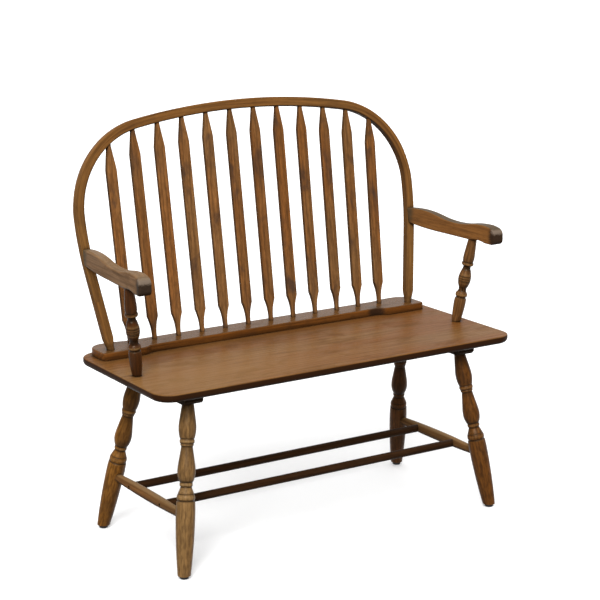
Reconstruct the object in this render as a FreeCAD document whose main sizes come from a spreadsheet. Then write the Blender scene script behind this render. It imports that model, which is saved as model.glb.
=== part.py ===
import FreeCAD, Part
import math
import os
import re
import Sketcher

# Bow-back bench with arrow spindles, shaped arms on turned posts and four splayed turned legs.
# Millimetres. +X is to the right as the bench is seen from its front, -Y is the front, +Z is up.
# Left and right are as seen from the front. The origin is on the floor under the middle of the bench.
# The Y sizes below count from the middle of the seat board; origin_shift takes them to the origin.
# Most X places hang on bench_width, most Y places on seat_depth and most heights on seat_height.

os.makedirs("parts", exist_ok=True)
doc = FreeCAD.newDocument("deacons_bench")
sheet = doc.addObject("Spreadsheet::Sheet", "sizes")
aliases = set()
pieces = {}
SIDES = {"left": -1, "right": 1}


def size(name, content):
    """Puts one named size in the sheet: a number, or a formula of sizes named before it."""
    row = len(aliases) + 1
    sheet.set(f"A{row}", name)
    sheet.set(f"B{row}", f"={content}" if isinstance(content, str) else str(content))
    sheet.setAlias(f"B{row}", name)
    aliases.add(name)


def bound(expression):
    """The expression with every size name pointing at its cell."""
    return re.sub(r"[a-z_][a-z_0-9]*",
                  lambda word: f"sizes.{word[0]}" if word[0] in aliases else word[0], expression)


def value(expression):
    if "Touched" in sheet.State:
        sheet.recompute()
    result = sheet.evalExpression(bound(expression))
    return float(getattr(result, "Value", result))


def place(x="0", y="0", z="0", axis="0; 0; 1", angle="0"):
    return f"placement(vector({x}; {y} + origin_shift; {z}); rotation(vector({axis}); {angle}))"


def moved(line, distance):
    """The same line, starting further along its own Z axis."""
    return f"{line} * placement(vector(0; 0; {distance}); rotation(vector(0; 0; 1); 0))"


def along(name, start, end):
    """Names the span and tilt of the line between two points and gives the placement on it."""
    for letter, first, last in zip("xyz", start, end):
        size(f"{name}_run_{letter}", f"({last}) - ({first})")
    size(f"{name}_span", f"sqrt({name}_run_x ^ 2 + {name}_run_y ^ 2 + {name}_run_z ^ 2)")
    size(f"{name}_tilt", f"acos({name}_run_z / {name}_span)")
    return place(*start, axis=f"-{name}_run_y; {name}_run_x; 0", angle=f"{name}_tilt")


def new_body(label, placement):
    body = doc.addObject("PartDesign::Body", label)
    body.setExpression("Placement", bound(placement))
    return body


def new_sketch(body, plane, offset=None):
    sketch = body.newObject("Sketcher::SketchObject", f"{body.Name}_outline")
    sketch.AttachmentSupport = [(next(item for item in body.Origin.OriginFeatures if item.Role == plane), "")]
    sketch.MapMode = "FlatFace"
    if offset:
        sketch.setExpression("AttachmentOffset.Base.z", bound(offset))
    return sketch


def arc_between(start, end, axis, centre):
    """The shorter arc between two points whose centre has a given coordinate on one axis."""
    (ax, ay), (bx, by) = start, end
    if axis == "x":
        cx = centre
        cy = ((bx - cx) ** 2 - (ax - cx) ** 2 + by ** 2 - ay ** 2) / (2 * (by - ay))
    else:
        cy = centre
        cx = ((by - cy) ** 2 - (ay - cy) ** 2 + bx ** 2 - ax ** 2) / (2 * (bx - ax))
    first = math.atan2(ay - cy, ax - cx)
    last = math.atan2(by - cy, bx - cx)
    forward = (last - first) % (2 * math.pi) < math.pi
    circle = Part.Circle(FreeCAD.Vector(cx, cy, 0), FreeCAD.Vector(0, 0, 1), math.hypot(ax - cx, ay - cy))
    angles = (first, last) if forward else (last, first)
    return Part.ArcOfCircle(circle, *angles), forward


def draw(sketch, corners):
    """A closed outline. A corner (x, y) runs straight to the next one; a corner (x, y, axis, centre)
    runs there by an arc whose centre has that coordinate on that axis."""
    constraints = []
    formulas = []

    def pin(geometry, point, axis, coordinate):
        kind, base_line = {"x": ("DistanceX", -2), "y": ("DistanceY", -1)}[axis]
        if coordinate == "0":
            constraints.append(Sketcher.Constraint("PointOnObject", geometry, point, base_line))
            return
        formulas.append((len(constraints), coordinate))
        constraints.append(Sketcher.Constraint(kind, geometry, point, value(coordinate)))

    ends = []
    for corner, following in zip(corners, corners[1:] + corners[:1]):
        start = (value(corner[0]), value(corner[1]))
        end = (value(following[0]), value(following[1]))
        if len(corner) == 2:
            index = sketch.addGeometry(Part.LineSegment(FreeCAD.Vector(*start, 0), FreeCAD.Vector(*end, 0)))
            ends.append((index, 1, 2))
            continue
        arc, forward = arc_between(start, end, corner[2], value(corner[3]))
        index = sketch.addGeometry(arc)
        ends.append((index, 1, 2) if forward else (index, 2, 1))
        pin(index, 3, corner[2], corner[3])
    for (index, first, last), (after, after_first, _), corner in zip(ends, ends[1:] + ends[:1], corners):
        constraints.append(Sketcher.Constraint("Coincident", index, last, after, after_first))
        pin(index, first, "x", corner[0])
        pin(index, first, "y", corner[1])
    sketch.addConstraint(constraints)
    for number, coordinate in formulas:
        sketch.setExpression(f"Constraints[{number}]", bound(coordinate))


def mirrored(half, crossing=(), closing=()):
    """The right half of an outline with its mirror image. The crossing run goes from the half's last
    corner to the left half, the closing run from there back to the half's first corner."""
    left = []
    for number in reversed(range(len(half))):
        run = half[number - 1][2:] if number else closing
        if run[:1] == ("x",):
            run = ("x", f"-({run[1]})")
        left.append((f"-({half[number][0]})", half[number][1]) + run)
    return half[:-1] + [half[-1] + crossing] + left


def ogee(start, end):
    """Two equal arcs, level at both points, in place of a straight step between them."""
    middle = (f"(({start[0]}) + ({end[0]})) / 2", f"(({start[1]}) + ({end[1]})) / 2")
    return [(*start, "x", start[0]), (*middle, "x", end[0])]


def renew(*features):
    for feature in features:
        feature.recompute()


def pad(body, sketch, length, both_ways=False):
    feature = body.newObject("PartDesign::Pad", f"{body.Name}_pad")
    feature.Profile = sketch
    feature.setExpression("Length", bound(length))
    if both_ways:
        feature.SideType = "Symmetric"
    renew(body, sketch, feature)


def pocket_through(body, sketch):
    before = body.Tip.Shape.Volume
    feature = body.newObject("PartDesign::Pocket", f"{body.Name}_pocket")
    feature.Profile = sketch
    feature.Type = "ThroughAll"
    feature.SideType = "Symmetric"
    renew(body, sketch, feature)
    if feature.Shape.Volume >= before:
        raise ValueError(f"{body.Name}: the pocket takes nothing away")


def dress(body, kind, amount, chosen):
    """Rounds or bevels each edge that the test picks out, in the body's own frame."""
    base = body.Tip
    names = [f"Edge{number}" for number, edge in enumerate(base.Shape.Edges, 1) if chosen(edge.BoundBox)]
    if not names:
        raise ValueError(f"{body.Name}: no edge to dress")
    edges_before = len(base.Shape.Edges)
    feature = body.newObject(f"PartDesign::{kind}", f"{body.Name}_{kind}")
    feature.Base = (base, names)
    feature.setExpression("Radius" if kind == "Fillet" else "Size", bound(amount))
    renew(body, feature)
    if len(feature.Shape.Edges) <= edges_before:
        raise ValueError(f"{body.Name}: {amount} fails")


def near(first, second):
    return abs(first - second) < 1e-3


def turned(name, line, stations):
    """A turned blank. A station (height, diameter) runs straight to the next one, "round" leaves
    level with the axis in an arc, "into" arrives so."""
    corners = [("0", stations[0][0])]
    for number, (height, diameter, *style) in enumerate(stations):
        corner = (f"({diameter}) / 2", height)
        if style == ["round"]:
            corner += ("y", height)
        if style == ["into"]:
            corner += ("y", stations[number + 1][0])
        corners.append(corner)
    corners.append(("0", stations[-1][0]))
    body = new_body(name, line)
    sketch = new_sketch(body, "XZ_Plane")
    draw(sketch, corners)
    feature = body.newObject("PartDesign::Revolution", f"{name}_turning")
    feature.Profile = sketch
    feature.ReferenceAxis = (sketch, ["V_Axis"])
    feature.Angle = 360
    return body


def stations(piece, span, turning, arcs):
    """The stations of a turning whose distances count from the far end of a span."""
    return [(f"{span} - {piece}_{key}_at", f"{piece}_{key}_dia", *([arcs[key]] if key in arcs else []))
            for key in turning]


def rod(name, line, start, end, diameter):
    """A plain cylinder on a line: a drilled hole or a round shank."""
    result = doc.addObject("Part::Cylinder", name)
    result.setExpression("Radius", bound(f"({diameter}) / 2"))
    result.setExpression("Height", bound(f"({end}) - ({start})"))
    result.setExpression("Placement", bound(moved(line, start)))
    return result


def joined(name, shapes):
    result = doc.addObject("Part::MultiFuse", name)
    result.Shapes = shapes
    return result


def less(name, base, tools):
    result = doc.addObject("Part::Cut", name)
    result.Base = base
    result.Tool = joined(f"{name}_tools", tools) if len(tools) > 1 else tools[0]
    return result


def keep(label, result):
    result.Label = label
    pieces[label] = result


def screw(name, line, length):
    """A pan-head screw that bears on its line's start and drives along it."""
    head = rod(f"{name}_head", line, "-screw_head_high", "0", "screw_head_dia")
    shank = rod(f"{name}_shank", line, "-screw_head_high / 2", length, "screw_dia")
    return joined(name, [head, shank])


def screw_ways(name, line, length, deep):
    """The hole for a screw's shank, and the wider one, as deep as given, that takes its head."""
    return [rod(f"{name}_way", line, "0", f"{length} + end_gap", "screw_dia + 2 * glue_gap"),
            rod(f"{name}_bore", line, f"-({deep})", "0", "screw_bore_dia")]


def screw_group(label, screws):
    result = doc.addObject("Part::Compound", label)
    result.Links = screws
    keep(label, result)


sizes = {
    # The driving dimensions: over the arms, front to back of the seat board, and floor to seat top
    "bench_width": 1064,
    "seat_depth": 445,
    "seat_height": 457,
    "seat_front_y": "-seat_depth / 2",
    "seat_back_y": "seat_depth / 2",

    # Fits
    "glue_gap": 0.1,
    "end_gap": 1,

    # Seat
    "seat_front_half": "bench_width / 2 - 13",
    "seat_back_half": "bench_width / 2 - 19",
    "seat_thick": 20,
    "seat_corner_front": 48,
    "seat_corner_back": 56,
    "seat_top_round": 4,
    "seat_bottom_round": 11,
    "seat_under": "seat_height - seat_thick",

    # Cleats
    "cleat_x": "bench_width / 2 - 130",
    "cleat_wide": 50,
    "cleat_thick": 29,
    "cleat_front_y": "seat_front_y + 54",
    "cleat_back_y": "seat_back_y - 77",
    "cleat_end_bevel": 7,
    "cleat_under": "seat_under - cleat_thick",

    # Leg axes, where they meet the floor and the underside of the cleats
    "leg_foot_x": "cleat_x + 56.5",
    "leg_head_x": "cleat_x",
    "front_foot_y": "seat_front_y + 14.5",
    "front_head_y": "seat_front_y + 83",
    "back_foot_y": "seat_back_y - 17.5",
    "back_head_y": "seat_back_y - 108.5",
    "leg_in_seat": 11,
    "leg_foot_dia": 28.4,

    # Back rail
    "rail_half": "bench_width / 2 - 47",
    "rail_thick": 19,
    "rail_front_y": "seat_back_y - 84.5",
    "rail_back_y": "seat_back_y - 13.5",
    "rail_end_front_y": "seat_back_y - 98.5",
    "rail_end_back_y": "seat_back_y - seat_top_round",
    "rail_front_ogee_outer": "rail_half - 110",
    "rail_front_ogee_inner": "rail_front_ogee_outer - 40",
    "rail_back_ogee_outer": "rail_half - 55",
    "rail_back_ogee_inner": "rail_back_ogee_outer - 70",
    "rail_front_corner": 10,
    "rail_back_corner": 40,
    "rail_top_round": 3.5,
    "rail_top": "seat_height + rail_thick",

    # Bow, in its own raked plane, upwards from the top of the rail. Its outer edge is a flat top
    # arc, a shoulder arc and a flank arc, each ending where its radius has turned so far from
    # upright, and a straight foot.
    "bow_rise": 583,
    "bow_wide": 24,
    "bow_thick": 20,
    "bow_edge_round": 3,
    "bow_foot_y": "seat_back_y - 70",
    "bow_rake_angle": 12.2,
    "top_turn_angle": 10,
    "shoulder_radius": 233,
    "shoulder_turn_angle": 90.5,
    "flank_radius": 905,
    "flank_turn_angle": 98.9,
    "bow_tenon_dia": 19.5,
    "bow_tenon_long": 14,
    "bow_neck_long": 7,
    "bow_scallop_long": 25,
    "bow_scallop_dia": 30,
    "bow_cutter_dia": 35,
    "shoulder_centre_x": "bench_width / 2 - 27.8 - shoulder_radius",
    "top_radius": "shoulder_radius + shoulder_centre_x / sin(top_turn_angle)",
    "top_centre_x": 0,
    "top_centre_y": "bow_rise - top_radius",
    "shoulder_centre_y": "top_centre_y + (top_radius - shoulder_radius) * cos(top_turn_angle)",
    "flank_inset": "flank_radius - shoulder_radius",
    "flank_centre_x": "shoulder_centre_x - flank_inset * sin(shoulder_turn_angle)",
    "flank_centre_y": "shoulder_centre_y - flank_inset * cos(shoulder_turn_angle)",
    "flank_middle_radius": "flank_radius - bow_wide / 2",
    "bow_foot_run": "flank_centre_y / sin(flank_turn_angle) + flank_middle_radius / tan(flank_turn_angle)",
    "bow_foot_x": "flank_centre_x + flank_middle_radius * sin(flank_turn_angle) "
                  "+ bow_foot_run * cos(flank_turn_angle)",
    "bow_reach_y": "bow_foot_y + (bow_rise - bow_edge_round) * sin(bow_rake_angle) + bow_edge_round "
                   "+ (bow_thick / 2 - bow_edge_round) * cos(bow_rake_angle)",
    "origin_shift": "(seat_depth / 2 - bow_reach_y) / 2",

    # Arrow spindles
    "arrow_count": 12,
    "arrow_foot_pitch": "2 * (bow_foot_x - 3) / (arrow_count + 1)",
    "arrow_head_pitch": "arrow_foot_pitch + 2",
    "arrow_foot_y": "seat_back_y - 37.5",
    "arrow_blade_wide": 28,
    "arrow_blade_thick": 12,
    "arrow_edge_round": 2,
    "arrow_blank_dia": 32,
    "arrow_foot_dia": 13,
    "arrow_foot_tenon": 13,
    "arrow_foot_neck": 10,
    "arrow_foot_shoulder": 60.5,
    "arrow_head_dia": 13,
    "arrow_head_tenon": 13,
    "arrow_head_neck": 4,
    "arrow_head_shoulder": 71,

    # Arms
    "arm_back_wide": 21.5,
    "arm_front_wide": 33,
    "arm_outer_front_x": "bench_width / 2",
    "arm_outer_back_x": "arm_outer_front_x - 34",
    "arm_inner_front_x": "arm_outer_front_x - arm_front_wide",
    "arm_inner_back_x": "arm_outer_back_x - arm_back_wide",
    "arm_plan_back_y": "seat_back_y - 22.5",
    "arm_plan_front_y": "seat_front_y + 62.5",
    "arm_waste": 40,
    "arm_back_top": "seat_height + 267",
    "arm_back_under": "seat_height + 228",
    "arm_hump_y": "seat_back_y - 82.5",
    "arm_hump_top": "seat_height + 271",
    "arm_dip_y": "seat_front_y + 224.5",
    "arm_dip_top": "seat_height + 257.5",
    "arm_hand_y": "seat_front_y + 116.5",
    "arm_hand_top": "seat_height + 268",
    "arm_nose_y": "seat_front_y + 72.5",
    "arm_nose_top": "seat_height + 259",
    "arm_under": "seat_height + 222",
    "arm_under_back_y": "seat_back_y - 147.5",
    "arm_under_front_y": "seat_front_y + 174.5",
    "arm_palm_y": "seat_front_y + 134.5",
    "arm_palm_under": "seat_height + 225.5",
    "arm_heel_y": "seat_front_y + 100.5",
    "arm_heel_under": "seat_height + 221.5",
    "arm_nose_round": 18,
    "arm_heel_round": 12,
    "arm_outer_round": 5,
    "arm_inner_round": 2.5,

    # Arm posts, where their axes meet the seat and the underside of the arms
    "post_foot_x": "bench_width / 2 - 55.8",
    "post_foot_y": "seat_front_y + 194.5",
    "post_head_x": "bench_width / 2 - 25.5",
    "post_head_y": "seat_front_y + 169.5",
    "post_tenon_dia": 22.5,
    "post_in_seat": 13,
    "post_in_arm": 18,

    # Stretchers
    "stretcher_height": "cleat_under - 265",
    "side_stretcher_dia": 27,
    "side_tenon_dia": 20,
    "side_tenon_long": 22,
    "long_stretcher_dia": 20.5,
    "long_front_y": "seat_front_y + 142.5",
    "long_back_y": "seat_back_y - 148.5",
    "long_socket_floor": 6.5,

    # Glides under the feet
    "glide_dia": 22,
    "glide_high": 8,
    "glide_edge": 1.5,
    "glide_stem_dia": 6,
    "glide_stem_long": 14,

    # Screws
    "screw_dia": 4.2,
    "screw_head_dia": 8,
    "screw_head_high": 3,
    "screw_bore_dia": 8.6,
    "stretcher_screw_floor": 4,
    "stretcher_screw_long": 42,
    "cleat_screw_count": 3,
    "cleat_screw_pitch": "(back_head_y - front_head_y) / (cleat_screw_count + 1)",
    "cleat_screw_sink": 10,
    "cleat_screw_long": 32,
    "rail_screw_count": 7,
    "rail_screw_pitch": "2 * (rail_half - 90) / (rail_screw_count - 1)",
    "rail_screw_y": "rail_front_y + 24",
    "rail_screw_sink": 7,
    "rail_screw_long": 25,
    "arm_screw_height": "arm_back_under + 15",
    "arm_screw_floor": 3,
    "arm_screw_long": 45,
}

# The turning of a leg: how far below the cleat each station is, and its diameter there
leg_turning = {
    "tenon": (0, 27.5), "bulb_cone": (44, 39.6), "bulb": (61, 42.4), "bulb_end": (85.5, 35.2),
    "upper_groove": (87, 33), "upper_bead_start": (88.8, 34.2), "upper_bead": (93, 35.8),
    "upper_bead_end": (97, 33.8), "upper_step": (98.6, 31), "upper_fillet": (99.8, 32.2),
    "upper_fillet_end": (102.6, 31.6), "neck_groove": (104, 28.6), "neck": (107, 28),
    "vase_cone": (147, 40.4), "vase": (165, 43.3), "vase_end": (188.5, 32.2), "lower_step": (190, 29.8),
    "lower_bead": (194.8, 31.4), "lower_bead_end": (198.5, 30), "waist_groove": (200.3, 27),
    "waist": (203, 28.2), "flare": (216, 38.4), "collar_line": (217, 37), "collar_start": (218, 39.6),
    "collar": (225, 43.6), "collar_end": (230, 43), "shaft_groove": (232.8, 39.4),
    "shaft_start": (235.8, 44.6), "shaft": (258, 46.4),
}
leg_arcs = {
    "bulb_cone": "into", "bulb": "round", "upper_bead_start": "into", "upper_bead": "round",
    "vase_cone": "into", "vase": "round", "lower_step": "into", "lower_bead": "round",
    "collar_start": "into", "collar": "round", "shaft_start": "into", "shaft": "round",
}

# The turning of a post: how far below the arm each station is, and its diameter there
post_turning = {
    "vase_cone": (40, 29), "vase": (50, 30), "vase_end": (61.5, 28), "vase_groove": (63, 26.4),
    "ring_start": (64, 30.6), "ring": (67, 31.8), "ring_end": (70.5, 30), "cove_start": (72.5, 24),
    "cove": (76, 20), "cove_end": (81, 21), "shoulder": (84, 24.4), "ball_start": (95, 30.4),
    "line_1_start": (100.4, 33), "line_1": (101.5, 30), "line_1_end": (102.6, 33.4),
    "line_2_start": (106.4, 34), "line_2": (107.5, 31), "line_2_end": (108.6, 34),
    "line_3_start": (112.4, 33.6), "line_3": (113.5, 30.4), "line_3_end": (114.6, 33),
    "ball_end": (123, 29.4), "step": (128.5, 25), "neck": (136.5, 20.5), "neck_end": (145.5, 28),
    "bead_start": (147.5, 30.4), "bead": (151.5, 31.6), "bead_end": (155.5, 30),
    "groove_start": (157, 26), "groove_end": (159.5, 26), "base_start": (161.5, 29.8),
    "base": (171, 31.5),
}
post_arcs = {
    "vase_cone": "into", "vase": "round", "ring_start": "into", "ring": "round",
    "cove_start": "into", "step": "into", "neck": "round", "bead_start": "into", "bead": "round",
    "base_start": "into", "base": "round",
}

for name, content in sizes.items():
    size(name, content)
for piece, turning in (("leg", leg_turning), ("post", post_turning)):
    for name, (distance, diameter) in turning.items():
        size(f"{piece}_{name}_at", distance)
        size(f"{piece}_{name}_dia", diameter)

seat_tools = []
rail_tools = []
bow_tools = []
cleat_tools = {side: [] for side in SIDES}
arm_tools = {side: [] for side in SIDES}
leg_tools = {(end, side): [] for end in ("front", "back") for side in SIDES}

# Side stretchers, from leg axis to leg axis
size("side_stretcher_x", "leg_foot_x + (leg_head_x - leg_foot_x) * stretcher_height / cleat_under")
for end in ("front", "back"):
    lean = f"({end}_head_y - {end}_foot_y) / cleat_under"
    size(f"{end}_stretcher_y", f"{end}_foot_y + {lean} * stretcher_height")
    size(f"{end}_glide_y", f"{end}_foot_y + {lean} * glide_high")
size("glide_x", "leg_foot_x + (leg_head_x - leg_foot_x) * glide_high / cleat_under")

side_blanks = {}
side_tools = {side: [] for side in SIDES}
for side, sign in SIDES.items():
    name = f"side_stretcher_{side}"
    line = along(f"{name}_line", (f"{sign} * side_stretcher_x", "front_stretcher_y", "stretcher_height"),
                 (f"{sign} * side_stretcher_x", "back_stretcher_y", "stretcher_height"))
    span = f"{name}_line_span"
    side_blanks[side] = turned(f"{name}_blank", line, [
        ("0", "side_tenon_dia"), ("side_tenon_long", "side_tenon_dia", "into"),
        (f"{span} / 2", "side_stretcher_dia", "round"), (f"{span} - side_tenon_long", "side_tenon_dia"),
        (span, "side_tenon_dia")])
    hole = "side_tenon_dia + 2 * glue_gap"
    leg_tools["front", side].append(rod(f"{name}_front_hole", line, "0", "leg_shaft_dia", hole))
    leg_tools["back", side].append(rod(f"{name}_back_hole", line, f"{span} - leg_shaft_dia", span, hole))

# Long stretchers, each end in a shallow socket and held by a screw from the outer side
long_half = "(side_stretcher_x - long_socket_floor)"
stretcher_screws = []
for end in ("front", "back"):
    name = f"long_stretcher_{end}"
    centre = place(y=f"long_{end}_y", z="stretcher_height", axis="0; 1; 0", angle="90")
    tools = []
    for side, sign in SIDES.items():
        inward = place(f"{sign} * (side_stretcher_x + stretcher_screw_floor)", f"long_{end}_y",
                       "stretcher_height", "0; 1; 0", f"{-sign} * 90")
        screw_name = f"{name}_{side}_screw"
        stretcher_screws.append(screw(screw_name, inward, "stretcher_screw_long"))
        ways = screw_ways(screw_name, inward, "stretcher_screw_long", "side_stretcher_dia")
        socket = rod(f"{name}_{side}_socket", inward, "stretcher_screw_floor + long_socket_floor",
                     "side_stretcher_dia", "long_stretcher_dia + 2 * glue_gap")
        side_tools[side] += ways + [socket]
        tools += ways
    blank = rod(f"{name}_blank", centre, f"-{long_half}", long_half, "long_stretcher_dia")
    keep(name, less(f"{name}_cut", blank, tools))
screw_group("stretcher_screws", stretcher_screws)
for side in SIDES:
    keep(f"side_stretcher_{side}", less(f"side_stretcher_{side}_cut", side_blanks[side], side_tools[side]))

# Legs: turned, through the cleat, blind in the seat, and sawn level above the glides
size("floor_waste", "bench_width / 10")
trim = doc.addObject("Part::Box", "floor_trim")
trim.setExpression("Length", bound("bench_width"))
trim.setExpression("Width", bound("2 * seat_depth"))
trim.setExpression("Height", bound("floor_waste"))
trim.setExpression("Placement", bound(place("-bench_width / 2", "-seat_depth", "glide_high - floor_waste")))


for end, side in leg_tools:
    sign = SIDES[side]
    name = f"leg_{end}_{side}"
    line = along(f"{name}_line", (f"{sign} * leg_foot_x", f"{end}_foot_y", "0"),
                 (f"{sign} * leg_head_x", f"{end}_head_y", "cleat_under"))
    span = f"{name}_line_span"
    head = f"{span} * seat_under / cleat_under + leg_in_seat"
    blank = turned(f"{name}_blank", line, [
        (head, "leg_tenon_dia"), *stations("leg", span, leg_turning, leg_arcs),
        ("-glide_high", "leg_foot_dia")])
    bore = rod(f"{name}_bore", line, f"{span} - cleat_thick", head, "leg_tenon_dia + 2 * glue_gap")
    seat_tools.append(bore)
    cleat_tools[side].append(bore)
    under_foot = place(f"{sign} * glide_x", f"{end}_glide_y")
    stem_hole = rod(f"{name}_stem_hole", under_foot, "glide_high", "glide_high + glide_stem_long + end_gap",
                    "glide_stem_dia + 2 * glue_gap")
    keep(name, less(f"{name}_cut", blank, [*leg_tools[end, side], trim, stem_hole]))
    keep(f"foot_glide_{end}_{side}", turned(f"foot_glide_{end}_{side}", under_foot, [
        ("0", "glide_dia - 2 * glide_edge"), ("glide_edge", "glide_dia"), ("glide_high", "glide_dia"),
        ("glide_high", "glide_stem_dia"), ("glide_high + glide_stem_long", "glide_stem_dia")]))

# Cleats, screwed up into the seat
cleat_screws = []
for side, sign in SIDES.items():
    name = f"seat_cleat_{side}"
    body = new_body(f"{name}_blank", place(f"{sign} * cleat_x", z="cleat_under"))
    sketch = new_sketch(body, "XY_Plane")
    draw(sketch, [("cleat_wide / 2", "cleat_front_y"), ("cleat_wide / 2", "cleat_back_y"),
                  ("-cleat_wide / 2", "cleat_back_y"), ("-cleat_wide / 2", "cleat_front_y")])
    pad(body, sketch, "cleat_thick")
    dress(body, "Chamfer", "cleat_end_bevel", lambda box: near(box.ZMax, 0) and near(box.YLength, 0))
    for number in range(int(value("cleat_screw_count"))):
        line = place(f"{sign} * cleat_x", f"front_head_y + {number + 1} * cleat_screw_pitch",
                     "cleat_under + cleat_screw_sink")
        screw_name = f"{name}_screw_{number}"
        ways = screw_ways(screw_name, line, "cleat_screw_long", "2 * cleat_screw_sink")
        cleat_screws.append(screw(screw_name, line, "cleat_screw_long"))
        cleat_tools[side] += ways
        seat_tools.append(ways[0])
    keep(name, less(f"{name}_cut", body, cleat_tools[side]))
screw_group("cleat_screws", cleat_screws)

# Screws up through the seat into the back rail
rail_screws = []
for number in range(int(value("rail_screw_count"))):
    line = place(f"({number} - (rail_screw_count - 1) / 2) * rail_screw_pitch", "rail_screw_y",
                 "seat_under + rail_screw_sink")
    screw_name = f"rail_screw_{number}"
    ways = screw_ways(screw_name, line, "rail_screw_long", "2 * rail_screw_sink")
    rail_screws.append(screw(screw_name, line, "rail_screw_long"))
    seat_tools += ways
    rail_tools.append(ways[0])
screw_group("rail_screws", rail_screws)

# Arrow spindles: turned blanks flattened to a blade between their necks
for number in range(int(value("arrow_count"))):
    name = f"arrow_{number + 1:02}"
    place_in_row = f"({number} - (arrow_count - 1) / 2)"
    size(f"{name}_head_x", f"{place_in_row} * arrow_head_pitch")
    size(f"{name}_head_rise", f"abs({name}_head_x) < (top_radius - bow_wide) * sin(top_turn_angle) "
         f"? top_centre_y + sqrt((top_radius - bow_wide) ^ 2 - {name}_head_x ^ 2) "
         f": shoulder_centre_y + sqrt((shoulder_radius - bow_wide) ^ 2 "
         f"- (abs({name}_head_x) - shoulder_centre_x) ^ 2)")
    line = along(f"{name}_line", (f"{place_in_row} * arrow_foot_pitch", "arrow_foot_y", "rail_top"),
                 (f"{name}_head_x", f"bow_foot_y + {name}_head_rise * sin(bow_rake_angle)",
                  f"rail_top + {name}_head_rise * cos(bow_rake_angle)"))
    span = f"{name}_line_span"
    blank = turned(f"{name}_blank", line, [
        ("-arrow_foot_tenon", "arrow_foot_dia"), ("arrow_foot_neck", "arrow_foot_dia", "round"),
        ("arrow_foot_shoulder", "arrow_blank_dia"), (f"{span} - arrow_head_shoulder", "arrow_blank_dia"),
        (f"{span} - arrow_head_neck", "arrow_head_dia"), (f"{span} + arrow_head_tenon", "arrow_head_dia")])
    slab = new_body(f"{name}_slab", line)
    sketch = new_sketch(slab, "XZ_Plane")
    draw(sketch, [("arrow_blade_wide / 2", "-arrow_foot_tenon - end_gap"),
                  ("arrow_blade_wide / 2", f"{span} + arrow_head_tenon + end_gap"),
                  ("-arrow_blade_wide / 2", f"{span} + arrow_head_tenon + end_gap"),
                  ("-arrow_blade_wide / 2", "-arrow_foot_tenon - end_gap")])
    pad(slab, sketch, "arrow_blade_thick", both_ways=True)
    dress(slab, "Fillet", "arrow_edge_round", lambda box: box.ZLength > 1 and near(box.XLength, 0))
    spindle = doc.addObject("Part::Common", f"{name}_spindle")
    spindle.Base = blank
    spindle.Tool = slab
    keep(name, spindle)
    rail_tools.append(rod(f"{name}_foot_hole", line, "-arrow_foot_tenon", "arrow_foot_neck",
                          "arrow_foot_dia + 2 * glue_gap"))
    bow_tools.append(rod(f"{name}_head_hole", line, f"{span} - arrow_head_neck",
                         f"{span} + arrow_head_tenon", "arrow_head_dia + 2 * glue_gap"))

# Bow
bow_plane = place(y="bow_foot_y", z="rail_top", axis="1; 0; 0", angle="90 - bow_rake_angle")


def on_bow(arc, turn, inward="0"):
    """A point of the bow's edge where one of its arcs has turned so far."""
    return (f"{arc}_centre_x + ({arc}_radius - {inward}) * sin({turn})",
            f"{arc}_centre_y + ({arc}_radius - {inward}) * cos({turn})")


def on_bow_foot(inward):
    x, y = on_bow("flank", "flank_turn_angle", inward)
    return (f"{x} + (bow_foot_run + bow_tenon_long) * cos(flank_turn_angle)",
            f"{y} - (bow_foot_run + bow_tenon_long) * sin(flank_turn_angle)")


bow_blank = new_body("bow_blank", bow_plane)
sketch = new_sketch(bow_blank, "XY_Plane")
top_arc = ("y", "top_centre_y")
draw(sketch, mirrored([
    (*on_bow("top", "top_turn_angle"), "x", "shoulder_centre_x"),
    (*on_bow("shoulder", "shoulder_turn_angle"), "x", "flank_centre_x"),
    on_bow("flank", "flank_turn_angle"),
    on_bow_foot("0"),
    on_bow_foot("bow_wide"),
    (*on_bow("flank", "flank_turn_angle", "bow_wide"), "x", "flank_centre_x"),
    (*on_bow("shoulder", "shoulder_turn_angle", "bow_wide"), "x", "shoulder_centre_x"),
    on_bow("top", "top_turn_angle", "bow_wide")], crossing=top_arc, closing=top_arc))
pad(bow_blank, sketch, "bow_thick", both_ways=True)
bow_wide = value("bow_wide")
dress(bow_blank, "Fillet", "bow_edge_round",
      lambda box: near(box.ZLength, 0) and box.DiagonalLength > 2 * bow_wide)

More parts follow.
